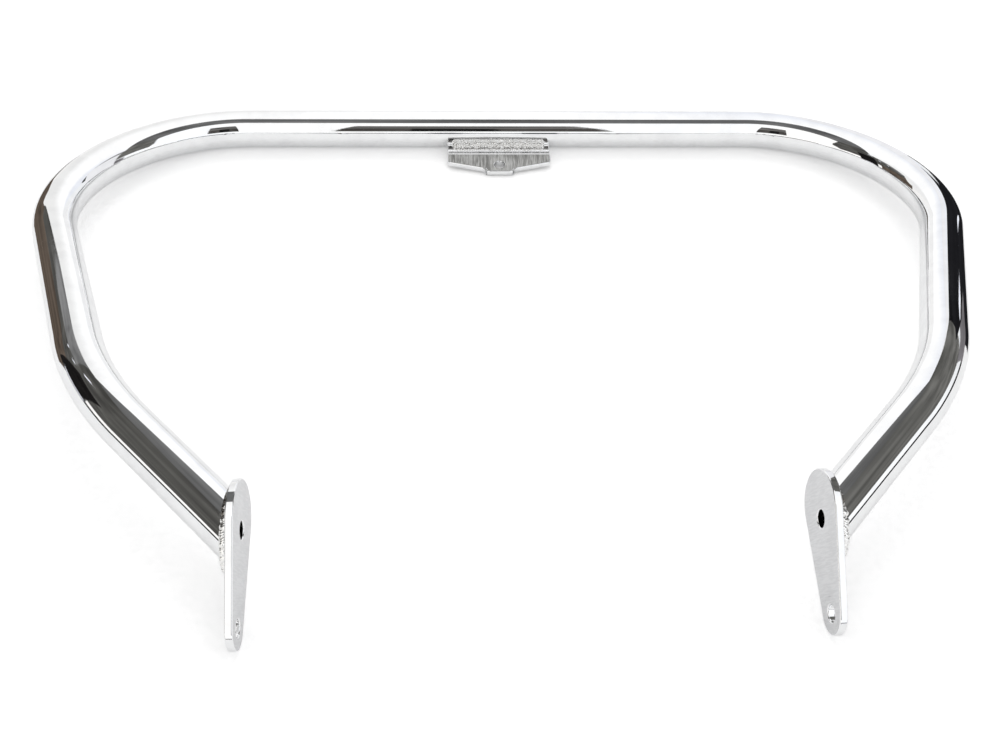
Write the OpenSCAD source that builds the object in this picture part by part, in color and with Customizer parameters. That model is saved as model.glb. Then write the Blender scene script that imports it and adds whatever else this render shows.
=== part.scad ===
// Crash bar for a motorcycle: one steel tube bent into a wide arch, with a flat
// tab welded on each end and a small drilled bracket under the middle.
// It lies as it would on a bench. The top bar and the tips of the two tabs touch
// the ground at Z = 0, and the origin is the middle of its footprint.

/* [Tube] */
// Outside diameter of the tube
tube_d = 31.75; // [25:0.25:40]
// Wall thickness of the tube
tube_wall = 2.5; // [1.5:0.1:4]

/* [Bends] */
// Width over the outsides of the two side rails
bar_w = 724; // [600:2:880]
// From the top bar's axis down to the corner where rail and leg would meet
rail_drop = 353; // [290:1:430]
// Lean of each side rail towards the middle, in degrees
rail_lean = 20.5; // [14:0.5:25]
// Centreline radius of the two top bends
top_bend_r = 130; // [100:1:160]
// Centreline radius of the two lower bends
leg_bend_r = 190; // [120:1:230]
// Lean of each leg towards the middle, in degrees
leg_lean = 45.5; // [40:0.5:55]
// Angle at which each leg kicks back out of the arch's plane, in degrees
leg_kick = 11; // [4:0.5:18]

/* [Frame tabs] */
// Clear width between the inner faces of the two tabs
tab_gap = 333; // [270:1:400]
// Thickness of each tab
tab_t = 4.8; // [3:0.1:8]
// Diameter of a tab's round head, where the tube is welded on
tab_head_d = 45; // [41:0.5:56]
// Diameter of a tab's narrow tip
tab_tip_d = 25; // [18:0.5:30]
// Distance between the centres of the head and the tip
tab_reach = 61; // [48:1:80]
// Distance from the head's centre to the tube's axis
tab_hub_offset = 7; // [3:0.5:10]
// Turn of a tab out of the arch's plane, in degrees
tab_turn = 35; // [25:1:45]
// Toe of each tab, which opens the pair a little upwards, in degrees
tab_toe = 3; // [0:0.5:6]
// Diameter of the vent hole from the tab into the tube
vent_d = 10.5; // [6:0.5:16]
// Diameter of the frame bolt's hole in the tip
tab_bolt_d = 10; // [6:0.5:13]

/* [Centre bracket] */
// Width of the bracket
bracket_w = 90; // [72:1:130]
// Thickness of the bracket
bracket_t = 4.8; // [3:0.1:6]
// From the tube's axis to the lower corners of the bracket
bracket_skirt = 39.5; // [34:0.5:48]
// Slope of the two shoulders that run in to the tongue, in degrees
bracket_slope = 14.5; // [8:0.5:20]
// Width of the tongue
tongue_w = 24; // [20:0.5:36]
// From the tube's axis to the end of the tongue
tongue_reach = 51.5; // [49:0.5:60]
// Diameter of the bolt hole in the tongue
tongue_bolt_d = 9; // [6:0.5:12]
// From the hole's centre to the end of the tongue
tongue_hole_edge = 8.7; // [7.5:0.1:12]
// Radius of the bracket's outer corners
bracket_corner_r = 3.5; // [1:0.5:5]
// Radius in the corners where the shoulders meet the tongue
tongue_fillet_r = 5; // [2:0.5:8]
// Angle of the bracket below the arch's plane, in degrees
bracket_droop = 13; // [6:0.5:16]
// How far the bracket's upper face lies below the tube's axis
bracket_depth = 4; // [2:0.1:6]

/* [Welds] */
// Leg of the fillet weld round each end of the tube
tab_weld_leg = 4; // [2.5:0.1:5]
// Leg of the fillet weld along the bracket
bracket_weld_leg = 4.5; // [3:0.1:6]
// Distance between two ripples of a weld
ripple_pitch = 3.2; // [2.5:0.1:6]
// Height of the ripples, as a share of the weld's leg
ripple_share = 0.12; // [0:0.01:0.25]
// Part of the bracket's width that is welded
bracket_weld_share = 0.87; // [0.5:0.01:0.95]

/* [Hidden] */
$fn = 96;

tube_r = tube_d / 2;
chrome = [0.80, 0.81, 0.83];
satin_chrome = [0.74, 0.75, 0.76];
weld_chrome = [0.62, 0.61, 0.60];

function unit(v) = v / norm(v);
function turn_between(a, b) = acos(unit(a) * unit(b));
// A placing matrix whose X, Y and Z axes are x, y and z, with its origin at o
function place(x, y, z, o) = [
    [x[0], y[0], z[0], o[0]],
    [x[1], y[1], z[1], o[1]],
    [x[2], y[2], z[2], o[2]],
    [0, 0, 0, 1]
];

// The arch's own plane is XY here, with the top bar along X through the origin.
// The right half runs along the top bar, round the top corner, down the side
// rail, round the lower corner and along the leg to the tab.
bar_dir = [1, 0, 0];
rail_dir = [-sin(rail_lean), -cos(rail_lean), 0];
leg_dir = [-cos(leg_kick) * sin(leg_lean), -cos(leg_kick) * cos(leg_lean), -sin(leg_kick)];
top_turn = turn_between(bar_dir, rail_dir);
top_setback = top_bend_r * tan(top_turn / 2);
top_corner = [bar_w / 2 - tube_r + top_setback - top_bend_r, 0, 0];
low_corner = [top_corner[0] - rail_drop * tan(rail_lean), -rail_drop, 0];

// The hub is the point where the leg's axis meets the outer face of the tab
hub_x = tab_gap / 2 + tab_t;
hub = low_corner + leg_dir * (hub_x - low_corner[0]) / leg_dir[0];
tab_along = [0, -cos(tab_turn), -sin(tab_turn)];
tab_across = [-sin(tab_toe), sin(tab_turn) * cos(tab_toe), -cos(tab_turn) * cos(tab_toe)];
tab_out = cross(tab_along, tab_across);
tip_along = tab_reach - tab_hub_offset;

// How far a disc of radius r and thickness t reaches along dir from its centre
function disc_reach(dir, r, t) =
    let (c = abs(tab_out * dir)) r * sqrt(1 - c * c) + c * t / 2;
// The tilt that brings the top bar and a tip of that reach level on the ground
tip_center = hub + tab_along * tip_along - tab_out * tab_t / 2;
function level_for(reach) =
    atan2(-tip_center[2], -tip_center[1])
    + asin((reach - tube_r) / norm([tip_center[1], tip_center[2]]));
first_level = level_for(tab_tip_d / 2);
level = level_for(disc_reach([0, -sin(first_level), cos(first_level)], tab_tip_d / 2, tab_t));
// The footprint runs from the back of the top bar to the ends of the tips
to_front = [0, -cos(level), -sin(level)];
tip_front = tip_center * to_front + disc_reach(to_front, tab_tip_d / 2, tab_t);
footprint_mid = (tip_front - tube_r) / 2;

// Lays what is drawn in the arch's own plane on the ground
module lay_down() {
    translate([0, footprint_mid, tube_r]) rotate([-level, 0, 0]) children();
}

module on_tab() {
    multmatrix(place(tab_along, tab_across, tab_out, hub)) children();
}

// A solid skinned over rings of equal size. A closed one joins its last ring to
// its first, and an open one is capped at both ends.
module skin(rings, closed) {
    n = len(rings[0]);
    last = len(rings) - 1;
    walls = [for (i = [0 : closed ? last : last - 1], j = [0 : n - 1])
        let (i2 = (i + 1) % (last + 1), j2 = (j + 1) % n)
        each [[i * n + j, i2 * n + j, i2 * n + j2], [i * n + j, i2 * n + j2, i * n + j2]]];
    caps = closed ? [] : [[for (j = [0 : n - 1]) j], [for (j = [n - 1 : -1 : 0]) last * n + j]];
    polyhedron([for (ring = rings) each ring], concat(walls, caps), convexity = 6);
}

// A vector turned by an angle about an axis, and one mirrored from right to left
function spin(v, axis, turn) =
    v * cos(turn) + cross(axis, v) * sin(turn) + axis * (axis * v) * (1 - cos(turn));
function flip(v) = [-v[0], v[1], v[2]];

// The tube is drawn as sections. A section is a point on the tube's axis and the
// two directions of its circle, which go round each bend without a twist. Here
// is one bend, from direction a to direction b round the corner at p.
section_sides = 36;
bend_step = 5.5;
function bend_sections(p, a, b, r, u, v) =
    let (
        axis = unit(cross(a, b)),
        turn = turn_between(a, b),
        start = p - a * r * tan(turn / 2),
        center = start + cross(axis, a) * r,
        steps = ceil(turn / bend_step)
    )
    [for (k = [0 : steps]) let (t = turn * k / steps)
        [center + spin(start - center, axis, t), spin(u, axis, t), spin(v, axis, t)]];
function off_axis(section, r, j) =
    let (a = 360 * j / section_sides) r * (section[1] * cos(a) + section[2] * sin(a));

// The right half's sections start at the top bar's lowest line on the ground
ground_dir = [0, sin(level), -cos(level)];
top_sections = bend_sections(top_corner, bar_dir, rail_dir, top_bend_r,
                             ground_dir, cross(bar_dir, ground_dir));
rail_section = top_sections[len(top_sections) - 1];
leg_sections = bend_sections(low_corner, rail_dir, leg_dir, leg_bend_r,
                             rail_section[1], rail_section[2]);
leg_section = leg_sections[len(leg_sections) - 1];

// The rings of radius r from the left tab to the right one. The last ring on
// each side lies in the outer face of its tab, where the tube is sawn off.
function arch_rings(r) =
    let (
        half = concat(
            [for (s = concat(top_sections, leg_sections))
                [for (j = [0 : section_sides - 1]) s[0] + off_axis(s, r, j)]],
            [[for (j = [0 : section_sides - 1]) let (off = off_axis(leg_section, r, j))
                hub + off - leg_dir * (off * tab_out) / (leg_dir * tab_out)]]
        )
    )
    concat(
        [for (i = [len(half) - 1 : -1 : 0]) [for (point = half[i]) flip(point)]],
        half
    );

module guard_tube() {
    outer = arch_rings(tube_r);
    bore = arch_rings(tube_r - tube_wall);
    color(chrome) lay_down()
        skin(concat(outer, [for (i = [len(bore) - 1 : -1 : 0]) bore[i]]), true);
}

// A flat drop shape with its head at the origin and its tip along X
module drop_outline(head_d, tip_d, reach) {
    hull() {
        circle(d = head_d);
        translate([reach, 0]) circle(d = tip_d);
    }
}

module tab() {
    color(satin_chrome) lay_down() on_tab() translate([0, 0, -tab_t])
        linear_extrude(tab_t) difference() {
            translate([-tab_hub_offset, 0]) drop_outline(tab_head_d, tab_tip_d, tab_reach);
            circle(d = vent_d);
            translate([tip_along, 0]) circle(d = tab_bolt_d);
        }
}

module right_tab() {
    tab();
}

module left_tab() {
    mirror([1, 0, 0]) tab();
}

// The bracket's plane: X across, Y out from the tube's axis, Z up off its face
module on_bracket() {
    rotate([180 + bracket_droop, 0, 0]) mirror([0, 0, 1]) translate([0, 0, -bracket_depth])
        children();
}

module bracket_outline() {
    half = bracket_w / 2;
    root = tongue_w / 2;
    shoulder = bracket_skirt + (half - root) * tan(bracket_slope);
    inner = sqrt(pow(tube_r, 2) - pow(bracket_depth + bracket_t, 2)) - 1;
    // Outer corners are rounded first, then the two corners beside the tongue
    offset(r = -tongue_fillet_r) offset(delta = tongue_fillet_r)
        offset(r = bracket_corner_r) offset(delta = -bracket_corner_r)
            polygon([[-half, inner], [half, inner], [half, bracket_skirt], [root, shoulder],
                     [root, tongue_reach], [-root, tongue_reach], [-root, shoulder],
                     [-half, bracket_skirt]]);
}

module center_bracket() {
    color(satin_chrome) lay_down() difference() {
        on_bracket() translate([0, 0, -bracket_t]) linear_extrude(bracket_t) bracket_outline();
        // The plate's upper edge is coped to sit on the tube
        translate([-bracket_w, 0, 0]) rotate([0, 90, 0]) cylinder(d = tube_d, h = 2 * bracket_w);
        on_bracket() translate([0, tongue_reach - tongue_hole_edge, -2 * bracket_t])
            cylinder(d = tongue_bolt_d, h = 4 * bracket_t);
    }
}

// A weld's ripple at station i, with three stations to a ripple
stations_per_ripple = 3;
function ripple(i) = 1 + ripple_share * cos(360 * i / stations_per_ripple);

// The fillet weld round the end of the leg, in the arch's own plane. Each ring
// has its root in the corner, a toe on the tab, a crown and a toe on the tube.
tab_weld_ripples = round(PI * tube_d * 1.2 / ripple_pitch);
tab_weld_stations = tab_weld_ripples * stations_per_ripple;
weld_side = unit(cross(leg_dir, tab_out));
weld_up = cross(leg_dir, weld_side);
function tab_weld_ring(i) =
    let (
        a = 360 * i / tab_weld_stations,
        radial = cos(a) * weld_side + sin(a) * weld_up,
        off_axis = radial * tube_r / cos(180 / tab_weld_stations),
        root = hub + off_axis - leg_dir * (off_axis * tab_out) / (leg_dir * tab_out),
        outward = unit(radial - tab_out * (radial * tab_out)),
        leg = tab_weld_leg * ripple(i),
        crown = unit(outward - leg_dir)
    )
    [root, root + outward * leg, root + crown * leg * 0.85, root - leg_dir * leg];

module tab_weld() {
    color(weld_chrome) lay_down()
        skin([for (i = [0 : tab_weld_stations - 1]) tab_weld_ring(i)], true);
}

module right_tab_weld() {
    tab_weld();
}

module left_tab_weld() {
    mirror([1, 0, 0]) tab_weld();
}

// The fillet weld in the groove between the tube and the bracket's upper face.
// Its rings are drawn in the bracket's plane, with the tube's axis as origin.
groove_steps = 4;
function bracket_weld_ring(i, x) =
    let (
        leg = bracket_weld_leg * ripple(i),
        low = -asin(bracket_depth / tube_r),
        step = leg / tube_r * 180 / PI / groove_steps,
        wall_r = tube_r / cos(step / 2),
        root_y = tube_r * cos(low)
    )
    concat(
        [for (k = [groove_steps : -1 : 1]) [x, wall_r * cos(low + k * step), wall_r * sin(low + k * step)]],
        [[x, root_y, -bracket_depth], [x, root_y + leg, -bracket_depth],
         [x, root_y + leg * 0.75, -bracket_depth + leg * 0.6]]
    );

module bracket_weld() {
    weld_w = bracket_w * bracket_weld_share;
    count = round(weld_w / ripple_pitch) * stations_per_ripple;
    color(weld_chrome) lay_down() rotate([180 + bracket_droop, 0, 0]) mirror([0, 0, 1])
        skin([for (i = [0 : count]) bracket_weld_ring(i, weld_w * (i / count - 0.5))], false);
}

guard_tube();
left_tab();
right_tab();
center_bracket();
left_tab_weld();
right_tab_weld();
bracket_weld();
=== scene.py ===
# %% [markdown]
# # A chromed crash bar for a motorcycle
# The real object is a weldment: one bent steel tube, two frame tabs, one small bracket and the
# weld beads between them, all plated together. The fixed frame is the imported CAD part, and each
# piece here is built in the same place from the same sizes, with finer faces and rounded edges,
# because polished metal shows every facet.

import math

import bmesh
import bpy
from mathutils import Matrix, Vector


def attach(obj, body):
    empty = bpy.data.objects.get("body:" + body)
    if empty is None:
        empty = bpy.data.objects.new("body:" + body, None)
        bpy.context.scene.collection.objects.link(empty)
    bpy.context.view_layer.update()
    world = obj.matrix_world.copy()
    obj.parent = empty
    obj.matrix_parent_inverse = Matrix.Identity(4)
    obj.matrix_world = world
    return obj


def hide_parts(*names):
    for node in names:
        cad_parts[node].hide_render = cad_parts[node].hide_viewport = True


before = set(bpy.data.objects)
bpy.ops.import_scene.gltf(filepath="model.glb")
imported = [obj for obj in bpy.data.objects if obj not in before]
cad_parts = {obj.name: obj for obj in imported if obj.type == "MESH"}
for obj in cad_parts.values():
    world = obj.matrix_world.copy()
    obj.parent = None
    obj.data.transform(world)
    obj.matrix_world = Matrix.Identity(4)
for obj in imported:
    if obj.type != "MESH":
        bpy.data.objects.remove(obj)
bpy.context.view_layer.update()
print("CAD nodes", len(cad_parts))

# %% [markdown]
# ## Sizes and directions
# The sizes are the part's own, in millimetres. They are turned into metres only where points are
# made. The arch is worked out flat, with the top bar along X and the side rails running down Y,
# and is then laid on the ground, so that the top bar and the tips of the tabs all touch it.

# %% Sizes in millimetres, angles in degrees
# The tube, and the arch that it is bent into
TUBE_D = 31.75
TUBE_R = TUBE_D / 2
TUBE_WALL = 2.5
BAR_W = 724
RAIL_DROP = 353
RAIL_LEAN = 20.5
TOP_BEND_R = 130
LEG_BEND_R = 190
LEG_LEAN = 45.5
LEG_KICK = 11
# The two frame tabs
TAB_GAP = 333
TAB_T = 4.8
TAB_HEAD_D = 45
TAB_TIP_D = 25
TAB_REACH = 61
TAB_HUB_OFFSET = 7
TAB_TURN = 35
TAB_TOE = 3
VENT_D = 10.5
TAB_BOLT_D = 10
# The bracket under the top bar
BRACKET_W = 90
BRACKET_T = 4.8
BRACKET_SKIRT = 39.5
BRACKET_SLOPE = 14.5
BRACKET_CORNER_R = 3.5
BRACKET_DROOP = 13
BRACKET_DEPTH = 4
TONGUE_W = 24
TONGUE_REACH = 51.5
TONGUE_BOLT_D = 9
TONGUE_HOLE_EDGE = 8.7
TONGUE_FILLET_R = 5
# How the arch lies on the ground. The part's source works both numbers out from these sizes
LEVEL = 6.31734
FOOTPRINT_MID = 247.941569


def sin(a):
    return math.sin(math.radians(a))


def cos(a):
    return math.cos(math.radians(a))


# %% Directions of the bar, rail, leg and tab in the arch's own plane
bar_dir = Vector((1, 0, 0))
rail_dir = Vector((-sin(RAIL_LEAN), -cos(RAIL_LEAN), 0))
leg_dir = Vector((-cos(LEG_KICK) * sin(LEG_LEAN), -cos(LEG_KICK) * cos(LEG_LEAN), -sin(LEG_KICK)))
tab_along = Vector((0, -cos(TAB_TURN), -sin(TAB_TURN)))
tab_across = Vector((-sin(TAB_TOE), sin(TAB_TURN) * cos(TAB_TOE), -cos(TAB_TURN) * cos(TAB_TOE)))
tab_out = tab_along.cross(tab_across)
top_turn = bar_dir.angle(rail_dir)
top_setback = TOP_BEND_R * math.tan(top_turn / 2)
top_corner = Vector((BAR_W / 2 - TUBE_R + top_setback - TOP_BEND_R, 0, 0))
low_corner = Vector((top_corner.x - RAIL_DROP * math.tan(math.radians(RAIL_LEAN)), -RAIL_DROP, 0))
hub = low_corner + leg_dir * ((TAB_GAP / 2 + TAB_T - low_corner.x) / leg_dir.x)
print("hub of the right tab, mm", [round(v, 2) for v in hub])

# %% Laying the arch on the ground, in metres
to_metres = Matrix.Scale(0.001, 4)
lay_down = (
    to_metres
    @ Matrix.Translation((0, FOOTPRINT_MID, TUBE_R))
    @ Matrix.Rotation(math.radians(-LEVEL), 4, "X")
)
to_left = Matrix.Diagonal((-1, 1, 1, 1))


def place(x, y, z, origin):
    """A placing matrix from three axes and an origin."""
    return Matrix.Translation(origin) @ Matrix((x, y, z)).transposed().to_4x4()


on_tab = place(tab_along, tab_across, tab_out, hub)
ground_hub = lay_down @ hub
print("hub on the ground plane, m", [round(v, 4) for v in ground_hub])

# %% [markdown]
# ## Finishes
# Everything is chrome, but it isn't all the same. The tube was polished before plating and is a
# mirror with a faint waviness from bending. The flat faces of the tabs and the bracket came off
# a belt, so plating left them satin with a fine grain. The beads are rough, and dirt and flux
# leave them brownish in the hollows. Each finish is the same metal with its own roughness and
# relief, except that the bracket's colour also holds painted shade and a painted highlight. All
# patterns read Object coordinates, which are metres here.

# %% Small helpers for node trees
materials = {}


def add(tree, kind, **settings):
    """A new node with its settings."""
    node = tree.nodes.new(kind)
    for name, value in settings.items():
        setattr(node, name, value)
    return node


def start_material(name):
    """A new material with its tree, its shader and the Object coordinates."""
    material = bpy.data.materials.new(name)
    material.use_nodes = True
    tree = material.node_tree
    shader = tree.nodes["Principled BSDF"]
    coordinates = add(tree, "ShaderNodeTexCoord")
    materials[name] = material
    return material, tree, shader, coordinates.outputs["Object"]


def plug(tree, *pairs):
    """Links each pair's output to its input."""
    for source, target in pairs:
        tree.links.new(source, target)


def fill(tree, sockets, values):
    """Gives each input its value, which is a plain one or another node's output."""
    for socket, value in zip(sockets, values):
        if value is None:
            continue
        if isinstance(value, bpy.types.NodeSocket):
            tree.links.new(value, socket)
        else:
            socket.default_value = value


def math_node(tree, operation, *values):
    node = add(tree, "ShaderNodeMath", operation=operation)
    fill(tree, node.inputs, values)
    return node.outputs[0]


def vector_node(tree, operation, a, b=None, scale=None):
    node = add(tree, "ShaderNodeVectorMath", operation=operation)
    fill(tree, node.inputs, (a, b))
    if scale is not None:
        plug(tree, (scale, node.inputs["Scale"]))
    return node.outputs["Value" if operation in ("DOT_PRODUCT", "DISTANCE") else "Vector"]


# %% Helpers for patterns, colours and relief
def noise(tree, vector, scale, detail=2.0, stretch=None, turn=0.0):
    """A noise texture whose scale is in cells a metre, turned about X and stretched if asked."""
    if stretch:
        mapping = add(tree, "ShaderNodeMapping", vector_type="TEXTURE")
        mapping.inputs["Scale"].default_value = stretch
        mapping.inputs["Rotation"].default_value = (math.radians(turn), 0, 0)
        plug(tree, (vector, mapping.inputs["Vector"]))
        vector = mapping.outputs["Vector"]
    texture = add(tree, "ShaderNodeTexNoise")
    names = ("Vector", "Scale", "Detail")
    fill(tree, [texture.inputs[name] for name in names], (vector, scale, detail))
    return texture.outputs["Fac"]


def remap(tree, value, low, high, out_low, out_high, smooth=False):
    """Turns the range from low to high into the range from out_low to out_high."""
    node = add(tree, "ShaderNodeMapRange", interpolation_type="SMOOTHSTEP" if smooth else "LINEAR")
    names = ("Value", "From Min", "From Max", "To Min", "To Max")
    fill(tree, [node.inputs[name] for name in names], (value, low, high, out_low, out_high))
    return node.outputs["Result"]


def bump(tree, height, distance, under=None):
    """A relief whose full height is the distance, in metres, laid over another one if given."""
    node = add(tree, "ShaderNodeBump")
    names = ("Strength", "Distance", "Height", "Normal")
    fill(tree, [node.inputs[name] for name in names], (1, distance, height, under))
    return node.outputs["Normal"]


def blend_colors(tree, factor, first, second):
    """Mixes two colours, each of them three numbers or another node's output."""
    node = add(tree, "ShaderNodeMix", data_type="RGBA")
    for name, color in (("A", first), ("B", second)):
        fill(tree, [node.inputs[name]], [(*color, 1) if isinstance(color, tuple) else color])
    plug(tree, (factor, node.inputs["Factor"]))
    return node.outputs["Result"]


def y_of(tree, at):
    """How far back a point lies, in metres."""
    split = add(tree, "ShaderNodeSeparateXYZ")
    plug(tree, (at, split.inputs["Vector"]))
    return split.outputs["Y"]


# %% Polished chrome for the tube
CLEAR_CHROME = (0.945, 0.95, 0.955)
HAZY_CHROME = (0.89, 0.893, 0.90)


def polished_chrome():
    material, tree, shader, at = start_material("tube_chrome")
    shader.inputs["Metallic"].default_value = 1.0
    haze = remap(tree, noise(tree, at, 75, 4), 0.35, 0.7, 0, 1, smooth=True)
    smudges = remap(tree, noise(tree, at, 28, 5), 0.45, 0.75, 0.025, 0.09, smooth=True)
    waves = bump(tree, noise(tree, at, 30, 1), 0.00002)
    plug(
        tree,
        (blend_colors(tree, haze, CLEAR_CHROME, HAZY_CHROME), shader.inputs["Base Color"]),
        (smudges, shader.inputs["Roughness"]),
        (bump(tree, noise(tree, at, 420, 2), 0.0000012, under=waves), shader.inputs["Normal"]),
    )
    return material


# %% Plain dark steel inside the tube
RUSTY_STEEL = (0.02, 0.013, 0.010)
BLACK_STEEL = (0.005, 0.0045, 0.0045)


def bore_steel():
    material, tree, shader, at = start_material("bore_steel")
    shader.inputs["Specular IOR Level"].default_value = 0.1
    shader.inputs["Roughness"].default_value = 0.9
    rust = noise(tree, at, 160, 6)
    plug(
        tree,
        (blend_colors(tree, rust, RUSTY_STEEL, BLACK_STEEL), shader.inputs["Base Color"]),
        (bump(tree, rust, 0.0003), shader.inputs["Normal"]),
    )
    return material


# %% Satin chrome for the flat faces
WASHER_R = 0.0095
WASHER_LINE = 0.00035
WORN_CHROME = (0.33, 0.33, 0.34)
# A painted highlight: the bright colour of the band near the bracket's weld
PAINTED_HIGHLIGHT_CHROME = (0.97, 0.97, 0.975)
BUFFED_ROUGHNESS = 0.6


def washer_mark(tree, at, middle):
    """Where the washer of an earlier bolt left a faint, broken ring round the hole."""
    ring = math_node(tree, "COMPARE", vector_node(tree, "DISTANCE", at, middle), WASHER_R, WASHER_LINE)
    broken = remap(tree, noise(tree, at, 130, 2), 0.5, 0.62, 0, 0.4)
    return math_node(tree, "MULTIPLY", ring, broken)


def satin_chrome(name, belt_way, turn, grit, shades, sheen, mark_at=None, buffed_highlight=None):
    """Belt-ground and plated metal. belt_way stretches the grain along the belt's way.

    mark_at is the middle of a washer's mark. The last argument is a pair of Y values, between which
    the belt's finish turns smoother and its colour bright; the bright colour is a painted highlight.
    """
    material, tree, shader, at = start_material(name)
    shader.inputs["Metallic"].default_value = 1.0
    clouds = noise(tree, at, 55, 4)
    grain = noise(tree, at, grit, 3, stretch=belt_way, turn=turn)
    mottled = math_node(tree, "ADD", math_node(tree, "MULTIPLY", clouds, 0.5), grain)
    color = blend_colors(tree, remap(tree, mottled, 0.55, 0.95, 0, 1, smooth=True), *shades)
    roughness = remap(tree, grain, 0.3, 0.7, *sheen)
    if mark_at is not None:
        color = blend_colors(tree, washer_mark(tree, at, mark_at), color, WORN_CHROME)
    # Near the weld the roughness drops, which is the finish's own, and the colour turns bright: a
    # painted highlight that stands in for the reflection of the white sheet.
    if buffed_highlight is not None:
        depth = y_of(tree, at)
        bright = remap(tree, depth, *buffed_highlight, 0, 1, smooth=True)
        color = blend_colors(tree, bright, color, PAINTED_HIGHLIGHT_CHROME)
        kept = remap(tree, depth, *buffed_highlight, 1, BUFFED_ROUGHNESS, smooth=True)
        roughness = math_node(tree, "MULTIPLY", roughness, kept)
    plug(
        tree,
        (color, shader.inputs["Base Color"]),
        (roughness, shader.inputs["Roughness"]),
        (bump(tree, grain, 0.00003), shader.inputs["Normal"]),
    )
    return material


# %% Rough chrome for the weld beads
DIRTY_HOLLOW = (0.17, 0.155, 0.135)
CLEAN_BEAD = (0.93, 0.925, 0.91)
DIRT_SOFTNESS = 0.06


def bead_chrome(name, dirt, relief, span=None, clean_by=0.0):
    """dirt is the level of the noise below which a hollow is brown.

    span is a pair of Y values. Up to the first the level is lower by clean_by, from the second on
    it is dirt itself.
    """
    material, tree, shader, at = start_material(name)
    shader.inputs["Metallic"].default_value = 1.0
    pits = noise(tree, at, 520, 6)
    level = pits
    if span is not None:
        level = math_node(tree, "ADD", pits, remap(tree, y_of(tree, at), *span, clean_by, 0))
    clean = remap(tree, level, dirt - DIRT_SOFTNESS, dirt + DIRT_SOFTNESS, 0, 1, smooth=True)
    plug(
        tree,
        (blend_colors(tree, clean, DIRTY_HOLLOW, CLEAN_BEAD), shader.inputs["Base Color"]),
        (remap(tree, pits, 0.35, 0.60, 0.35, 0.07), shader.inputs["Roughness"]),
        (bump(tree, pits, relief), shader.inputs["Normal"]),
    )
    return material


tube_chrome = polished_chrome()
dark_bore = bore_steel()
tab_bead_chrome = bead_chrome(
    "tab_weld_chrome", dirt=0.62, relief=0.00015, span=(-0.212, -0.206), clean_by=0.38
)
bracket_bead_chrome = bead_chrome("bracket_weld_chrome", dirt=0.2, relief=0.00003)
toe_chrome = bead_chrome("weld_toe_chrome", dirt=0.72, relief=0.0004)
print("finishes so far", sorted(materials))

# %% [markdown]
# ## Helpers for Geometry Nodes
# A tree is built in the script with named inputs, so that its sizes can be read and changed in
# one place. The modifier's inputs are set by each socket's identifier before the object is first
# evaluated. The result is then turned into a plain mesh, and the modifier's object is removed.

# %% Tree, object and mesh helpers
def start_tree(name, inputs):
    tree = bpy.data.node_groups.new(name, "GeometryNodeTree")
    tree.interface.new_socket("Geometry", in_out="INPUT", socket_type="NodeSocketGeometry")
    for label, kind, value in inputs:
        socket = tree.interface.new_socket(label, in_out="INPUT", socket_type="NodeSocket" + kind)
        socket.default_value = value
    tree.interface.new_socket("Geometry", in_out="OUTPUT", socket_type="NodeSocketGeometry")
    return tree, tree.nodes.new("NodeGroupInput"), tree.nodes.new("NodeGroupOutput")


def put_in_scene(name, data):
    """A new object for a mesh, a curve, a lamp or a camera."""
    piece = bpy.data.objects.new(name, data)
    bpy.context.scene.collection.objects.link(piece)
    return piece


def take_mesh(piece):
    """The plain mesh that an object's curve or modifier makes. The object itself goes."""
    graph = bpy.context.evaluated_depsgraph_get()
    mesh = bpy.data.meshes.new_from_object(piece.evaluated_get(graph), depsgraph=graph)
    bpy.data.objects.remove(piece)
    return mesh


def wire_object(name, points, closed=False):
    """A chain of mesh edges for a tree to turn into a curve."""
    mesh = bpy.data.meshes.new(name)
    edges = [(i, i + 1) for i in range(len(points) - 1)]
    if closed:
        edges.append((len(points) - 1, 0))
    mesh.from_pydata([tuple(p) for p in points], edges, [])
    return put_in_scene(name, mesh)


def grow(name, base, tree, values):
    """Runs a tree on a base object and leaves only the plain mesh that it made."""
    modifier = base.modifiers.new(tree.name, "NODES")
    modifier.node_group = tree
    for item in tree.interface.items_tree:
        if item.in_out == "INPUT" and item.name in values:
            modifier[item.identifier] = values[item.name]
    mesh = take_mesh(base)
    mesh.name = name
    print(name, len(mesh.vertices), "points", len(mesh.polygons), "faces")
    return put_in_scene(name, mesh)


# %% [markdown]
# ## The bent tube
# On the bench this is one length of tube: the bender turns it four times and a saw cuts each end
# flat where it meets its tab. Sweeping a circle along the axis is the same idea. The path is a
# fine chain of points. The tree sweeps the outside and the bore, turns the bore's faces round,
# and slides the two end rings along the tube into the plane of their tab.

# %% The axis of the tube
BEND_STEP = 1.25


def bend_points(corner, a, b, radius):
    """Points on the arc that rounds a corner between the directions a and b."""
    axis = a.cross(b).normalized()
    turn = a.angle(b)
    start = corner - a * radius * math.tan(turn / 2)
    center = start + axis.cross(a) * radius
    count = max(2, round(math.degrees(turn) / BEND_STEP))
    return [
        center + Matrix.Rotation(turn * k / count, 3, axis) @ (start - center)
        for k in range(count + 1)
    ]


half_axis = bend_points(top_corner, bar_dir, rail_dir, TOP_BEND_R)
half_axis += bend_points(low_corner, rail_dir, leg_dir, LEG_BEND_R)
half_axis.append(hub)
axis_points = [to_left @ p for p in reversed(half_axis)] + half_axis
axis_length = sum((b - a).length for a, b in zip(axis_points, axis_points[1:]))
print("tube axis", len(axis_points), "points,", round(axis_length, 1), "mm long")


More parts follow.
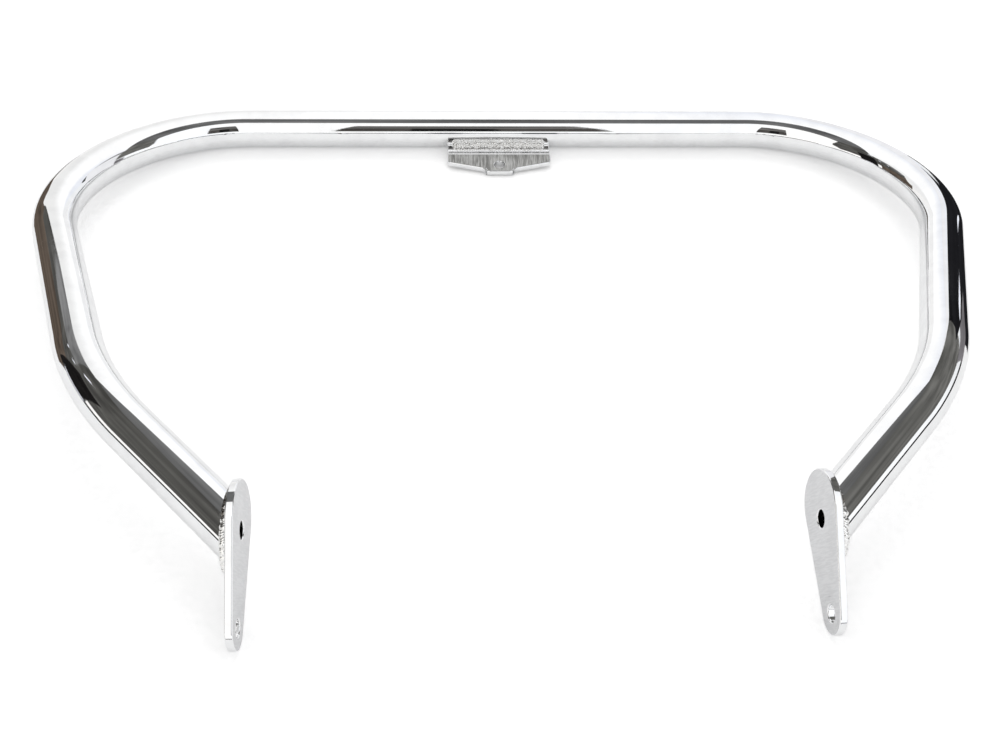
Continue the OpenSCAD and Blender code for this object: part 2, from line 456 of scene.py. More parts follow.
# %% The tree that sweeps the tube
def tube_tree():
    tree, given, made = start_tree(
        "bent_tube",
        [
            ("Outer Radius", "Float", 0.015875),
            ("Bore Radius", "Float", 0.013375),
            ("Sides", "Int", 72),
            ("Tab Point", "Vector", (0, 0, 0)),
            ("Tab Normal", "Vector", (1, 0, 0)),
            ("Outside", "Material", None),
            ("Inside", "Material", None),
        ],
    )
    path = add(tree, "GeometryNodeMeshToCurve")
    tangent = add(tree, "GeometryNodeInputTangent")
    ends = add(tree, "GeometryNodeCurveEndpointSelection")
    keep = add(tree, "GeometryNodeCaptureAttribute", domain="POINT")
    keep.capture_items.new("VECTOR", "Tangent")
    keep.capture_items.new("BOOLEAN", "End")
    plug(
        tree,
        (given.outputs["Geometry"], path.inputs["Mesh"]),
        (path.outputs["Curve"], keep.inputs["Geometry"]),
        (tangent.outputs["Tangent"], keep.inputs["Tangent"]),
        (ends.outputs["Selection"], keep.inputs["End"]),
    )
    skins = []
    for radius in ("Outer Radius", "Bore Radius"):
        circle = add(tree, "GeometryNodeCurvePrimitiveCircle")
        sweep = add(tree, "GeometryNodeCurveToMesh")
        plug(
            tree,
            (given.outputs["Sides"], circle.inputs["Resolution"]),
            (given.outputs[radius], circle.inputs["Radius"]),
            (keep.outputs["Geometry"], sweep.inputs["Curve"]),
            (circle.outputs["Curve"], sweep.inputs["Profile Curve"]),
        )
        skins.append(sweep.outputs["Mesh"])
    inward = add(tree, "GeometryNodeFlipFaces")
    name_bore = add(tree, "GeometryNodeStoreNamedAttribute", data_type="BOOLEAN", domain="FACE")
    name_bore.inputs["Name"].default_value = "bore"
    name_bore.inputs["Value"].default_value = True
    join = add(tree, "GeometryNodeJoinGeometry")
    plug(
        tree,
        (skins[1], inward.inputs["Mesh"]),
        (inward.outputs["Mesh"], name_bore.inputs["Geometry"]),
        (name_bore.outputs["Geometry"], join.inputs["Geometry"]),
        (skins[0], join.inputs["Geometry"]),
    )
    # The tab's point and normal are mirrored for the left end by the sign of X
    position = add(tree, "GeometryNodeInputPosition").outputs["Position"]
    split = add(tree, "ShaderNodeSeparateXYZ")
    mirror = add(tree, "ShaderNodeCombineXYZ")
    mirror.inputs["Y"].default_value = 1
    mirror.inputs["Z"].default_value = 1
    plug(
        tree,
        (position, split.inputs["Vector"]),
        (math_node(tree, "SIGN", split.outputs["X"]), mirror.inputs["X"]),
    )
    point = vector_node(tree, "MULTIPLY", given.outputs["Tab Point"], mirror.outputs["Vector"])
    normal = vector_node(tree, "MULTIPLY", given.outputs["Tab Normal"], mirror.outputs["Vector"])
    away = vector_node(tree, "DOT_PRODUCT", vector_node(tree, "SUBTRACT", position, point), normal)
    along = vector_node(tree, "DOT_PRODUCT", keep.outputs["Tangent"], normal)
    slide = math_node(tree, "MULTIPLY", math_node(tree, "DIVIDE", away, along), -1)
    saw = add(tree, "GeometryNodeSetPosition")
    plug(
        tree,
        (join.outputs["Geometry"], saw.inputs["Geometry"]),
        (keep.outputs["End"], saw.inputs["Selection"]),
        (vector_node(tree, "SCALE", keep.outputs["Tangent"], scale=slide), saw.inputs["Offset"]),
    )
    smooth = add(tree, "GeometryNodeSetShadeSmooth")
    real = add(tree, "GeometryNodeRealizeInstances")
    outside = add(tree, "GeometryNodeSetMaterial")
    inside = add(tree, "GeometryNodeSetMaterial")
    is_bore = add(tree, "GeometryNodeInputNamedAttribute", data_type="BOOLEAN")
    is_bore.inputs["Name"].default_value = "bore"
    plug(
        tree,
        (saw.outputs["Geometry"], smooth.inputs["Geometry"]),
        (smooth.outputs["Geometry"], real.inputs["Geometry"]),
        (real.outputs["Geometry"], outside.inputs["Geometry"]),
        (given.outputs["Outside"], outside.inputs["Material"]),
        (outside.outputs["Geometry"], inside.inputs["Geometry"]),
        (is_bore.outputs["Attribute"], inside.inputs["Selection"]),
        (given.outputs["Inside"], inside.inputs["Material"]),
        (inside.outputs["Geometry"], made.inputs["Geometry"]),
    )
    return tree


# %% Sweep it, and close each sawn end with its ring of metal
TUBE_SIDES = 72
SHARP_ANGLE = 35
tab_normal = (lay_down.to_3x3() @ tab_out).normalized()
tube = grow(
    "bent_tube",
    wire_object("tube_axis", [lay_down @ p for p in axis_points]),
    tube_tree(),
    {
        "Outer Radius": TUBE_R / 1000,
        "Bore Radius": (TUBE_R - TUBE_WALL) / 1000,
        "Sides": TUBE_SIDES,
        "Tab Point": tuple(ground_hub),
        "Tab Normal": tuple(tab_normal),
        "Outside": tube_chrome,
        "Inside": dark_bore,
    },
)


def close_ends(piece):
    """Bridges the outer ring and the bore's ring at each end."""
    work = bmesh.new()
    work.from_mesh(piece.data)
    for side in (-1, 1):
        rim = [e for e in work.edges if e.is_boundary and e.verts[0].co.x * side > 0]
        bmesh.ops.bridge_loops(work, edges=rim)
    still_open = sum(e.is_boundary for e in work.edges)
    work.to_mesh(piece.data)
    volume = work.calc_volume(signed=True)
    work.free()
    piece.data.set_sharp_from_angle(angle=math.radians(SHARP_ANGLE))
    print(piece.name, "open edges", still_open, "metal, cm3", round(volume * 1e6, 1))


close_ends(tube)
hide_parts("guard_tube")
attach(tube, "root")

# %% [markdown]
# ## The tabs and the bracket
# These are flat plates cut from strip, with their edges rounded on a wheel before plating. A flat
# curve with holes, extruded and bevelled, is that shape exactly: the outline is drawn inset by the
# rounding, and the bevel brings it back to full size. Weighted normals keep the flat faces flat
# while the rounded edge turns smoothly.

# %% Outlines in millimetres
EDGE_R = 0.9


def arc(center, radius, start, end, count):
    """Points on a round stretch, between two angles in degrees."""
    return [
        (
            center[0] + radius * cos(start + (end - start) * k / count),
            center[1] + radius * sin(start + (end - start) * k / count),
        )
        for k in range(count + 1)
    ]


def drop_points(inset):
    """The tab's outline about its hub: two round ends joined by their common tangents."""
    head = TAB_HEAD_D / 2 - inset
    tip = TAB_TIP_D / 2 - inset
    lean = math.degrees(math.acos((head - tip) / TAB_REACH))
    round_head = arc((-TAB_HUB_OFFSET, 0), head, lean, 360 - lean, 96)
    round_tip = arc((TAB_REACH - TAB_HUB_OFFSET, 0), tip, -lean, lean, 72)
    return round_head + round_tip


def rounded(corners, radii, count=14):
    """A polygon whose corners, given anticlockwise, are rounded each with its own radius."""
    points = []
    for i, corner in enumerate(corners):
        here = Vector(corner)
        before = (Vector(corners[i - 1]) - here).normalized()
        after = (Vector(corners[(i + 1) % len(corners)]) - here).normalized()
        radius = radii[i]
        if radius == 0:
            points.append(tuple(here))
            continue
        half = before.angle(after) / 2
        center = here + (before + after).normalized() * radius / math.sin(half)
        first = here + before * radius / math.tan(half)
        last = here + after * radius / math.tan(half)
        a = first - center
        sweep = a.angle_signed(last - center)
        points += [tuple(center + Matrix.Rotation(-sweep * k / count, 2) @ a) for k in range(count + 1)]
    return points


def inset_points(points, inset):
    """The outline moved inwards by a small inset, point by point."""
    moved = []
    for i, point in enumerate(points):
        here = Vector(point)
        before = here - Vector(points[i - 1])
        after = Vector(points[(i + 1) % len(points)]) - here
        normals = [Vector((-d.y, d.x)).normalized() for d in (before, after)]
        mean = (normals[0] + normals[1]).normalized()
        moved.append(tuple(here + mean * inset / max(0.3, mean.dot(normals[0]))))
    return moved


def hole(center, diameter, count):
    """A round hole's outline, drawn larger by the rounding of its edge."""
    return arc(center, diameter / 2 + EDGE_R, 0, 360, count)[:-1]


# %% One plate from an outline and its holes
MERGE_WITHIN = 0.002
FLAT_ENOUGH = 0.98


def plate(name, outline, holes, thickness, matrix, finish, mirrored=False):
    """Its two flat faces get the given finish, and its rounded rim and holes are polished."""
    curve = bpy.data.curves.new(name, "CURVE")
    curve.dimensions = "2D"
    curve.fill_mode = "BOTH"
    curve.extrude = thickness / 2 - EDGE_R
    curve.bevel_depth = EDGE_R
    curve.bevel_resolution = 4
    for loop in [outline] + holes:
        spline = curve.splines.new("POLY")
        spline.points.add(len(loop) - 1)
        for point, spot in zip(spline.points, loop):
            point.co = (spot[0], spot[1], 0, 1)
        spline.use_cyclic_u = True
    mesh = take_mesh(put_in_scene(name + "_outline", curve))
    work = bmesh.new()
    work.from_mesh(mesh)
    bmesh.ops.remove_doubles(work, verts=work.verts, dist=MERGE_WITHIN)
    work.normal_update()
    for face in work.faces:
        face.material_index = 0 if abs(face.normal.z) > FLAT_ENOUGH else 1
    bmesh.ops.transform(work, matrix=Matrix.Translation((0, 0, -thickness / 2)), verts=work.verts)
    bmesh.ops.transform(work, matrix=matrix, verts=work.verts)
    if mirrored:
        bmesh.ops.transform(work, matrix=to_left, verts=work.verts)
    bmesh.ops.transform(work, matrix=lay_down, verts=work.verts)
    bmesh.ops.recalc_face_normals(work, faces=work.faces)
    still_open = sum(not e.is_manifold for e in work.edges)
    for face in work.faces:
        face.smooth = True
    mesh.materials.clear()
    mesh.materials.append(finish)
    mesh.materials.append(tube_chrome)
    work.to_mesh(mesh)
    work.free()
    piece = put_in_scene(name, mesh)
    weigh = piece.modifiers.new("even_normals", "WEIGHTED_NORMAL")
    weigh.weight = 100
    print(name, len(mesh.polygons), "faces, edges not closed:", still_open)
    return piece


# %% The two frame tabs
tip_middle = (TAB_REACH - TAB_HUB_OFFSET, 0)
tab_holes = [hole((0, 0), VENT_D, 72), hole(tip_middle, TAB_BOLT_D, 72)]
bolt_middle = lay_down @ (on_tab @ Vector((*tip_middle, -TAB_T)))
tab_finish = satin_chrome(
    "tab_chrome",
    belt_way=(1, 1, 8),
    turn=TAB_TURN - LEVEL,
    grit=1000,
    shades=((0.69, 0.693, 0.703), (0.785, 0.788, 0.797)),
    sheen=(0.30, 0.42),
    mark_at=tuple(bolt_middle),
)
for side in ("left", "right"):
    name = side + "_frame_tab"
    tab = plate(name, drop_points(EDGE_R), tab_holes, TAB_T, on_tab, tab_finish, side == "left")
    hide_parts(side + "_tab")
    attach(tab, "root")

# %% The bracket under the top bar
TUBE_CLEARANCE = 0.2
droop = place(
    Vector((1, 0, 0)),
    Vector((0, -cos(BRACKET_DROOP), -sin(BRACKET_DROOP))),
    Vector((0, -sin(BRACKET_DROOP), cos(BRACKET_DROOP))),
    Vector((0, 0, 0)),
)
on_bracket = droop @ Matrix.Translation((0, 0, -BRACKET_DEPTH))
half_w = BRACKET_W / 2
root_w = TONGUE_W / 2
shoulder = BRACKET_SKIRT + (half_w - root_w) * math.tan(math.radians(BRACKET_SLOPE))
inner = math.sqrt(TUBE_R**2 - (BRACKET_DEPTH + BRACKET_T) ** 2) + TUBE_CLEARANCE
bracket_corners = [
    (half_w, inner),
    (half_w, BRACKET_SKIRT),
    (root_w, shoulder),
    (root_w, TONGUE_REACH),
    (-root_w, TONGUE_REACH),
    (-root_w, shoulder),
    (-half_w, BRACKET_SKIRT),
    (-half_w, inner),
]
corner_radii = [0, BRACKET_CORNER_R, TONGUE_FILLET_R, BRACKET_CORNER_R]
corner_radii += corner_radii[::-1]
bracket_outline = inset_points(rounded(bracket_corners, corner_radii), EDGE_R)
tongue_hole = hole((0, TONGUE_REACH - TONGUE_HOLE_EDGE), TONGUE_BOLT_D, 64)
# The bracket's grain is the belt's own, but its low, dark shades are painted shade: they stand in for
# the dark ceiling that the plate mirrors. Its bright band near the weld is a painted highlight.
bracket_finish_and_painted_light = satin_chrome(
    "bracket_chrome_and_painted_light",
    belt_way=(1, 12, 1),
    turn=BRACKET_DROOP - LEVEL,
    grit=900,
    shades=((0.17, 0.17, 0.163), (0.44, 0.44, 0.432)),
    sheen=(0.14, 0.26),
    buffed_highlight=(0.2180, 0.2205),
)
bracket = plate("tube_bracket", bracket_outline, [tongue_hole], BRACKET_T, on_bracket, bracket_finish_and_painted_light)
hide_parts("center_bracket")
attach(bracket, "root")

# %% [markdown]
# ## The weld beads
# A hand-laid bead is a row of overlapping puddles, each frozen a little differently. Geometry
# Nodes put one squashed puddle at every step of the seam, move each a little off its place, and
# then roughen the whole. The seam of a tab is the slanted ring where the tube meets it, and the
# bracket's seam is a straight groove. Along the foot of the bracket's bead runs a second, finer
# row, dark with flux, made by the same tree.

# %% The tree that lays a bead
PUDDLE_LEAST = (0.72, 0.72, 0.5)
PUDDLE_MOST = (1.1, 1.1, 0.8)
GRAIN_SCALE = 700


def bead_tree():
    tree, given, made = start_tree(
        "weld_bead",
        [
            ("Ripple Pitch", "Float", 0.0022),
            ("Bead Width", "Float", 0.0052),
            ("Roughness", "Float", 0.0004),
            ("Wander", "Float", 0.0004),
            ("Seed", "Int", 3),
            ("Finish", "Material", None),
        ],
    )
    path = add(tree, "GeometryNodeMeshToCurve")
    step = add(tree, "GeometryNodeResampleCurve", mode="LENGTH")
    puddle = add(tree, "GeometryNodeMeshIcoSphere")
    puddle.inputs["Subdivisions"].default_value = 3
    half_width = math_node(tree, "MULTIPLY", given.outputs["Bead Width"], 0.5)
    jitter = add(tree, "FunctionNodeRandomValue", data_type="FLOAT_VECTOR")
    jitter.inputs[0].default_value = (-1, -1, -1)
    jitter.inputs[1].default_value = (1, 1, 1)
    wander = vector_node(tree, "SCALE", jitter.outputs[0], scale=given.outputs["Wander"])
    drift = add(tree, "GeometryNodeSetPosition")
    spread = add(tree, "GeometryNodeInstanceOnPoints")
    tangent = add(tree, "GeometryNodeInputTangent")
    face = add(tree, "FunctionNodeAlignEulerToVector", axis="Z")
    size = add(tree, "FunctionNodeRandomValue", data_type="FLOAT_VECTOR")
    size.inputs[0].default_value = PUDDLE_LEAST
    size.inputs[1].default_value = PUDDLE_MOST
    real = add(tree, "GeometryNodeRealizeInstances")
    grain = add(tree, "ShaderNodeTexNoise")
    grain.inputs["Scale"].default_value = GRAIN_SCALE
    grain.inputs["Detail"].default_value = 3
    normal = add(tree, "GeometryNodeInputNormal")
    height = math_node(tree, "SUBTRACT", grain.outputs["Fac"], 0.5)
    lift = math_node(tree, "MULTIPLY", height, given.outputs["Roughness"])
    roughen = add(tree, "GeometryNodeSetPosition")
    smooth = add(tree, "GeometryNodeSetShadeSmooth")
    paint = add(tree, "GeometryNodeSetMaterial")
    plug(
        tree,
        (given.outputs["Geometry"], path.inputs["Mesh"]),
        (path.outputs["Curve"], step.inputs["Curve"]),
        (given.outputs["Ripple Pitch"], step.inputs["Length"]),
        (half_width, puddle.inputs["Radius"]),
        (step.outputs["Curve"], drift.inputs["Geometry"]),
        (given.outputs["Seed"], jitter.inputs["Seed"]),
        (wander, drift.inputs["Offset"]),
        (drift.outputs["Geometry"], spread.inputs["Points"]),
        (puddle.outputs["Mesh"], spread.inputs["Instance"]),
        (tangent.outputs["Tangent"], face.inputs["Vector"]),
        (face.outputs["Rotation"], spread.inputs["Rotation"]),
        (given.outputs["Seed"], size.inputs["Seed"]),
        (size.outputs[0], spread.inputs["Scale"]),
        (spread.outputs["Instances"], real.inputs["Geometry"]),
        (real.outputs["Geometry"], roughen.inputs["Geometry"]),
        (vector_node(tree, "SCALE", normal.outputs["Normal"], scale=lift), roughen.inputs["Offset"]),
        (roughen.outputs["Geometry"], smooth.inputs["Geometry"]),
        (smooth.outputs["Geometry"], paint.inputs["Geometry"]),
        (given.outputs["Finish"], paint.inputs["Material"]),
        (paint.outputs["Geometry"], made.inputs["Geometry"]),
    )
    return tree


bead = bead_tree()


# %% The seams round the tabs
SEAM_POINTS = 140
SEAM_LIFT = 1.4


def tab_seam():
    """Points just outside the corner between the tube and the tab's outer face."""
    side = leg_dir.cross(tab_out).normalized()
    up = leg_dir.cross(side)
    points = []
    for k in range(SEAM_POINTS):
        a = 360 * k / SEAM_POINTS
        radial = side * cos(a) + up * sin(a)
        off = radial * TUBE_R
        foot = hub + off - leg_dir * (off.dot(tab_out) / leg_dir.dot(tab_out))
        outward = (radial - tab_out * radial.dot(tab_out)).normalized()
        points.append(foot + (outward - leg_dir).normalized() * SEAM_LIFT)
    return points


seam = tab_seam()
tab_bead = {
    "Bead Width": 0.0064,
    "Ripple Pitch": 0.0010,
    "Wander": 0.0006,
    "Finish": tab_bead_chrome,
}
for side, seed in (("left", 5), ("right", 11)):
    points = [to_left @ p for p in seam] if side == "left" else seam
    ring = wire_object(side + "_seam", [lay_down @ p for p in points], closed=True)
    weld = grow(side + "_weld_bead", ring, bead, {**tab_bead, "Seed": seed})
    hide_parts(side + "_tab_weld")
    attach(weld, "root")

# %% The seam along the bracket
SEAM_LENGTH = 77


def groove(out, up):
    """A straight line beside the corner between the tube and the bracket's upper face."""
    y = math.sqrt(TUBE_R**2 - BRACKET_DEPTH**2) + out
    ends = [droop @ Vector((x, y, up - BRACKET_DEPTH)) for x in (-SEAM_LENGTH / 2, SEAM_LENGTH / 2)]
    return [lay_down @ p for p in ends]


weld = grow(
    "bracket_weld_bead",
    wire_object("bracket_seam", groove(out=1.6, up=0.8)),
    bead,
    {
        "Bead Width": 0.0062,
        "Ripple Pitch": 0.0011,
        "Roughness": 0.00012,
        "Wander": 0.0001,
        "Seed": 8,
        "Finish": bracket_bead_chrome,
    },
)
toe = grow(
    "bracket_weld_toe",
    wire_object("bracket_toe_line", groove(out=4.9, up=2.0)),
    bead,
    {
        "Bead Width": 0.0027,
        "Ripple Pitch": 0.0011,
        "Wander": 0.0006,
        "Seed": 4,
        "Finish": toe_chrome,
    },
)


def join_row(main, row, finish):
    """Adds the faces of a second row to a bead, in the row's own finish."""
    work = bmesh.new()
    work.from_mesh(main.data)
    main_faces = len(work.faces)
    work.from_mesh(row.data)
    work.faces.ensure_lookup_table()
    for face in work.faces[main_faces:]:
        face.material_index = 1
    main.data.materials.append(finish)
    work.to_mesh(main.data)
    work.free()
    bpy.data.objects.remove(row)
    print(main.name, "with its second row", len(main.data.polygons), "faces")


join_row(weld, toe, toe_chrome)
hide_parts("bracket_weld")
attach(weld, "root")

# %% [markdown]
# ## Studio
# Chrome has no colour of its own and shows only what stands round it. The bar lies on white paper.
# A white sheet hangs over its back, with a grey ceiling above and dark walls at the sides, and the
# dark bands on the tube are those walls and the edges of the table. Real walls would also shade
# the paper, so each one here is a card that shines in its own shade and that only mirror rays see.
# The light itself is soft: a white world and one broad lamp from above, for the shadow under the
# bars.

# %% White paper
PAPER_HALF = 6
SEEN_GLOW = 0.29
MIRRORED_GLOW = 0.06
PAPER_DARK = (0.91, 0.91, 0.91)
PAPER_LIGHT = (0.97, 0.97, 0.97)


def white_paper():
    """The camera sees the paper a little brighter, so that it reads as white."""
    material, tree, shader, at = start_material("white_paper")
    shader.inputs["Roughness"].default_value = 1.0
    shader.inputs["Specular IOR Level"].default_value = 0.0
    shader.inputs["Emission Color"].default_value = (1, 1, 1, 1)
    fibres = remap(tree, noise(tree, at, 240, 4), 0.4, 0.6, 0, 1)
    rays = add(tree, "ShaderNodeLightPath")
    seen = math_node(tree, "MULTIPLY", rays.outputs["Is Camera Ray"], SEEN_GLOW)
    mirrored = math_node(tree, "MULTIPLY", rays.outputs["Is Glossy Ray"], MIRRORED_GLOW)
    plug(
        tree,
        (blend_colors(tree, fibres, PAPER_DARK, PAPER_LIGHT), shader.inputs["Base Color"]),
        (bump(tree, noise(tree, at, 300, 3), 0.00003), shader.inputs["Normal"]),
        (math_node(tree, "ADD", seen, mirrored), shader.inputs["Emission Strength"]),
    )
    return material


def flat_sheet(name, corners, material):
    mesh = bpy.data.meshes.new(name)
    mesh.from_pydata(corners, [], [tuple(range(len(corners)))])
    mesh.materials.append(material)
    return put_in_scene(name, mesh)


signs = ((-1, -1), (1, -1), (1, 1), (-1, 1))
paper_corners = [(x * PAPER_HALF, y * PAPER_HALF, 0) for x, y in signs]
flat_sheet("paper_floor", paper_corners, white_paper())
print("paper, m", 2 * PAPER_HALF, "square")

# %% Cards that only reflections see
DRIFT = 0.35
STEADY = 0.03


def start_glow(name):
    """A material that only shines, with its tree, Object coordinates and colour input."""
    material = bpy.data.materials.new(name)
    material.use_nodes = True
    tree = material.node_tree
    tree.nodes.clear()
    at = add(tree, "ShaderNodeTexCoord").outputs["Object"]
    glow = add(tree, "ShaderNodeEmission")
    out = add(tree, "ShaderNodeOutputMaterial")
    plug(tree, (glow.outputs["Emission"], out.inputs["Surface"]))
    return material, tree, at, glow.inputs["Color"]


def drifting(name, shade, spread):
    """A glow of one shade, which is darker here and brighter there by the spread."""
    material, tree, at, color = start_glow(name)
    drift = remap(tree, noise(tree, at, 2.6, 3), 0.35, 0.65, 0, 1)
    dim = tuple(v * (1 - spread) for v in shade)
    bright = tuple(v * (1 + spread) for v in shade)
    plug(tree, (blend_colors(tree, drift, dim, bright), color))
    return material


def card(name, corners, material):
    """A flat sheet that only mirror rays see."""
    sheet = flat_sheet(name, corners, material)
    sheet.visible_camera = False
    sheet.visible_diffuse = False
    sheet.visible_transmission = False
    sheet.visible_shadow = False


# %% Cards lie overhead or stand as walls
CEILING = 0.8
SHEET = 0.53


def overhead(name, corners, shade, height=CEILING, spread=DRIFT):
    card(name, [(x, y, height) for x, y in corners], drifting(name, shade, spread))


def wall(name, start, end, bottom, top, shade, spread=DRIFT):
    (x0, y0), (x1, y1) = start, end
    corners = [(x0, y0, bottom), (x1, y1, bottom), (x1, y1, top), (x0, y0, top)]
    card(name, corners, drifting(name, shade, spread))


# %% The white sheet that hangs over the back, brightest in its middle
SHEET_LEFT = (0.89, 0.888, 0.882, 1)
SHEET_MIDDLE = (1.1, 1.1, 1.1, 1)
SHEET_RIGHT = (0.885, 0.905, 0.965, 1)


def bright_sheet():
    """Across the sheet its light goes from neutral through white to a little blue."""
    material, tree, at, color = start_glow("bright_sheet")
    split = add(tree, "ShaderNodeSeparateXYZ")
    ramp = add(tree, "ShaderNodeValToRGB")
    ramp.color_ramp.interpolation = "EASE"
    stops = ramp.color_ramp.elements
    stops[0].position = 0.08
    stops[0].color = SHEET_LEFT
    stops[1].position = 0.92
    stops[1].color = SHEET_RIGHT
    for position in (0.38, 0.62):
        stops.new(position).color = SHEET_MIDDLE
    plug(
        tree,
        (at, split.inputs["Vector"]),
        (remap(tree, split.outputs["X"], -0.7, 0.7, 0, 1), ramp.inputs["Fac"]),
        (ramp.outputs["Color"], color),
    )
    return material


sheet_left = [(-3.0, 3.6), (-1.41, 1.65), (-0.70, 1.006), (-0.505, 0.36), (-0.45, 0.28)]
sheet_right = [(0.43, 0.28), (0.453, 0.39), (0.634, 0.876), (1.15, 1.65), (2.5, 3.6)]
card("white_sheet", [(x, y, SHEET) for x, y in sheet_left + sheet_right], bright_sheet())

# %% The grey ceiling and its two wings
near_left = (-0.45, -0.06)
far_left = (-0.6, 0.9)
near_right = (0.5, -0.08)
far_right = (0.6, 0.9)
left_rim = [(-0.9, 1.5), (-2.0, 2.6), (-4, 3), (-4, -1.9), (-1.5, -0.9), (-1.0, -0.55)]
right_rim = [(1.3, -0.5), (2.6, -0.9), (3.2, 1.2), (1.3, 1.05), (0.8, 1.15)]
overhead("gray_ceiling", [near_left, near_right, far_right, far_left], (0.14, 0.14, 0.14))
overhead("left_wing", [near_left, far_left] + left_rim, (0.09, 0.088, 0.082))
overhead("right_wing", [near_right] + right_rim + [far_right], (0.14, 0.138, 0.13))

# %% Darker things further off, and the walls
WARM_BLACK = (0.012, 0.011, 0.011)
COOL_BLACK = (0.012, 0.012, 0.014)
BROWN = (0.10, 0.078, 0.062)
JUST_UNDER = CEILING - 0.01
right_far = [(0.8, 1.15), (1.3, 1.05), (2.4, 1.7), (3.6, 2.4), (3.6, 4.2), (1.6, 2.5)]
left_far = [(-0.62, 0.55), (-1.2, 0.5), (-1.6, 1.5), (-0.9, 1.5)]
overhead("right_black", right_far, COOL_BLACK)
overhead("left_gray", left_far, (0.2, 0.2, 0.2), JUST_UNDER)
wall("left_brown", (-1.75, 2.4), (-3.2, 0.9), 0.0, CEILING, BROWN)
wall("left_black", (-1.3, 0.4), (-1.27, -0.05), 0.0, 0.85, WARM_BLACK)
wall("left_low", (-1.27, -0.05), (-1.1, -1.0), 0.0, 0.1, WARM_BLACK)
wall("right_black_wall", (0.775, 0.765), (0.97, 0.466), 0.0, 0.5, COOL_BLACK)
wall("right_gray_wall", (0.97, 0.466), (1.1, 0.2), 0.0, 0.3, (0.2, 0.19, 0.2))
wall("right_low", (1.1, 0.2), (1.0, -1.0), 0.0, 0.09, WARM_BLACK)
wall("white_flag", (0.42, 0.3), (0.5, 0.9), 0.0, 0.45, (0.9, 0.9, 0.92), STEADY)

# %% Small bright gaps between the dark things
BRIGHT = (1.0, 1.02, 1.1)
GAP_HEIGHT = CEILING - 0.02
wall("right_slit", (0.925, 0.513), (0.947, 0.479), 0.15, 0.25, BRIGHT, STEADY)
wall("right_low_slit", (0.892, 0.566), (0.902, 0.550), 0.0, 0.09, BRIGHT, STEADY)
wall("left_strip", (-1.283, 0.28), (-1.262, -0.03), 0.035, 0.075, BRIGHT, STEADY)


def glint(name, middle):
    """A narrow bright gap in the ceiling that points away from the left bend."""
    away = Vector((-0.86, 0.5)) * 0.08
    side = Vector((0.5, 0.86)) * 0.02
    corners = [middle - away - side, middle + away - side, middle + away + side, middle - away + side]
    overhead(name, corners, BRIGHT, GAP_HEIGHT, STEADY)


glint("glint_far", Vector((-1.41, 0.85)))
glint("glint_mid", Vector((-1.34, 0.57)))
glint("glint_near", Vector((-0.91, 0.33)))

# %% Dark edges on the table
TABLE_LIFT = 0.0015
right_edge = [(0.41, -0.02), (1.05, 0.3), (0.66, 0.95), (0.46, 0.45)]
left_edge = [(-0.47, 0.0), (-0.48, 0.45), (-1.75, 2.4), (-3.2, 0.9), (-1.3, 0.25)]
overhead("table_right", right_edge, COOL_BLACK, TABLE_LIFT)
overhead("table_left", left_edge, BROWN, TABLE_LIFT)

# %% Dark cards in front, near and far
wall("front_top", (-0.28, -1.25), (0.346, -1.25), 1.02, 1.75, (0.13, 0.125, 0.12))
wall("front_core", (-0.11, -1.2), (0.09, -1.2), 0.5, 1.0, (0.012, 0.012, 0.012))
wall("front_low", (-0.28, -1.24), (0.346, -1.24), 0.46, 1.02, (0.07, 0.066, 0.062))
wall("far_left_card", (-0.08, -5.9), (0.12, -5.9), 0.15, 0.9, (0.01, 0.014, 0.03))
wall("far_right_card", (0.5, -5.9), (0.72, -5.9), 0.15, 0.9, (0.01, 0.014, 0.02))
wall("far_band", (-6, -6), (6, -6), 0.35, 0.75, (0.05, 0.055, 0.07), 0.8)


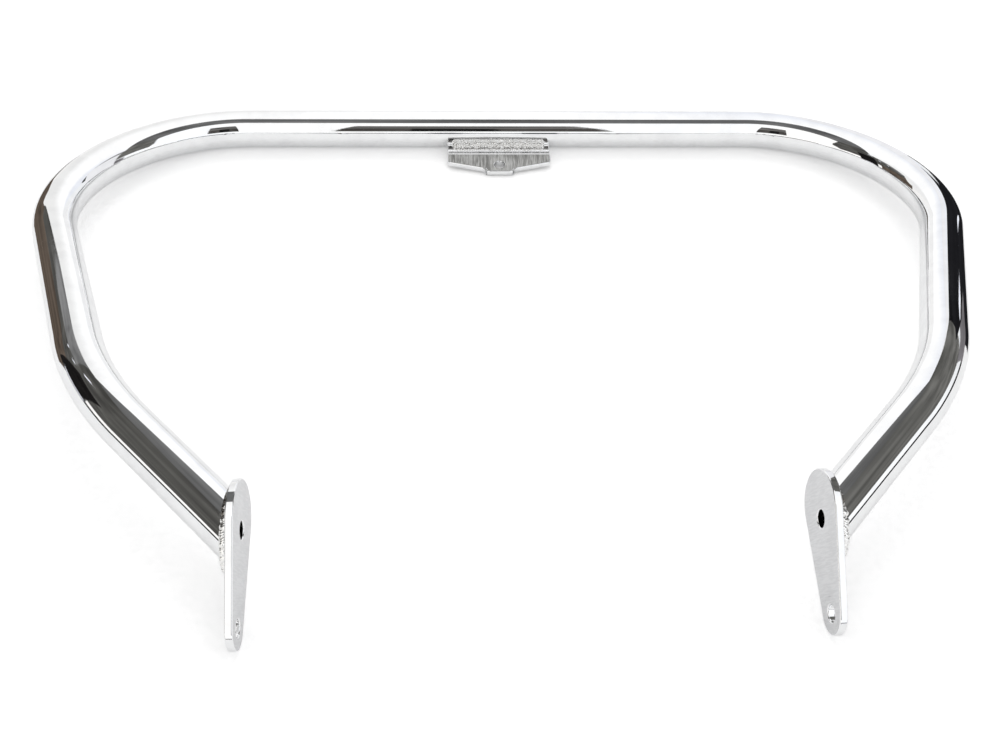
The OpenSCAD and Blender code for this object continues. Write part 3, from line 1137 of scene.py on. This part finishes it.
# %% The white world
def white_world():
    """It lights the bar evenly. Mirror rays see it warmer at the left and brighter in front."""
    world = bpy.data.worlds.new("white_tent")
    world.use_nodes = True
    tree = world.node_tree
    tree.nodes.clear()
    rays = add(tree, "ShaderNodeLightPath")
    toward = add(tree, "ShaderNodeTexCoord")
    sides = add(tree, "ShaderNodeSeparateXYZ")
    plug(tree, (toward.outputs["Generated"], sides.inputs["Vector"]))
    across = remap(tree, sides.outputs["X"], -0.7, 0.7, 0, 1, smooth=True)
    depth = remap(tree, sides.outputs["Y"], -0.3, 0.4, 1.12, 0.95, smooth=True)
    light = add(tree, "ShaderNodeBackground")
    light.inputs["Color"].default_value = (1, 1, 1, 1)
    light.inputs["Strength"].default_value = 0.8
    mirrored = add(tree, "ShaderNodeBackground")
    seen = add(tree, "ShaderNodeBackground")
    seen.inputs["Color"].default_value = (1, 1, 1, 1)
    if_glossy = add(tree, "ShaderNodeMixShader")
    if_camera = add(tree, "ShaderNodeMixShader")
    out = add(tree, "ShaderNodeOutputWorld")
    plug(
        tree,
        (blend_colors(tree, across, (1.0, 0.985, 0.965), (0.965, 0.98, 1.0)), mirrored.inputs["Color"]),
        (depth, mirrored.inputs["Strength"]),
        (rays.outputs["Is Glossy Ray"], if_glossy.inputs["Fac"]),
        (light.outputs["Background"], if_glossy.inputs[1]),
        (mirrored.outputs["Background"], if_glossy.inputs[2]),
        (rays.outputs["Is Camera Ray"], if_camera.inputs["Fac"]),
        (if_glossy.outputs["Shader"], if_camera.inputs[1]),
        (seen.outputs["Background"], if_camera.inputs[2]),
        (if_camera.outputs["Shader"], out.inputs["Surface"]),
    )
    return world


bpy.context.scene.world = white_world()

# %% One soft lamp
LAMP_TILT = -37
lamp_data = bpy.data.lights.new("broad_lamp", "AREA")
lamp_data.shape = "SQUARE"
lamp_data.size = 1.8
lamp_data.energy = 15
lamp = put_in_scene("broad_lamp", lamp_data)
lamp.location = (0.05, 1.8, 2.4)
lamp.rotation_euler = (math.radians(LAMP_TILT), 0, 0)
lamp.visible_glossy = False
print("lamp, m above the paper", round(lamp.location.z, 2))

# %% [markdown]
# ## Camera
# The photograph was taken from in front and above, at about 45 degrees. The camera's place, turn
# and focal length come from the same fit that gave the sizes.

# %% The camera at the photograph's angle
FOCAL_PIXELS = 1052.633
PHOTO_WIDTH = 1000
SENSOR_WIDTH = 36
right = Vector((0.99831255, -0.0485398, 0.03187371))
down = Vector((-0.0120402, -0.70998587, -0.70411299))
forward = Vector((0.05680739, 0.70254107, -0.70937223))
camera_data = bpy.data.cameras.new("photo_camera")
camera_data.sensor_width = SENSOR_WIDTH
camera_data.lens = FOCAL_PIXELS * SENSOR_WIDTH / PHOTO_WIDTH
camera = put_in_scene("photo_camera", camera_data)
camera.matrix_world = place(right, -down, -forward, Vector((-0.0537983, -0.5664747, 0.526837)))
bpy.context.scene.camera = camera
bpy.context.scene.view_settings.view_transform = "Standard"
print("lens, mm", round(camera_data.lens, 2))
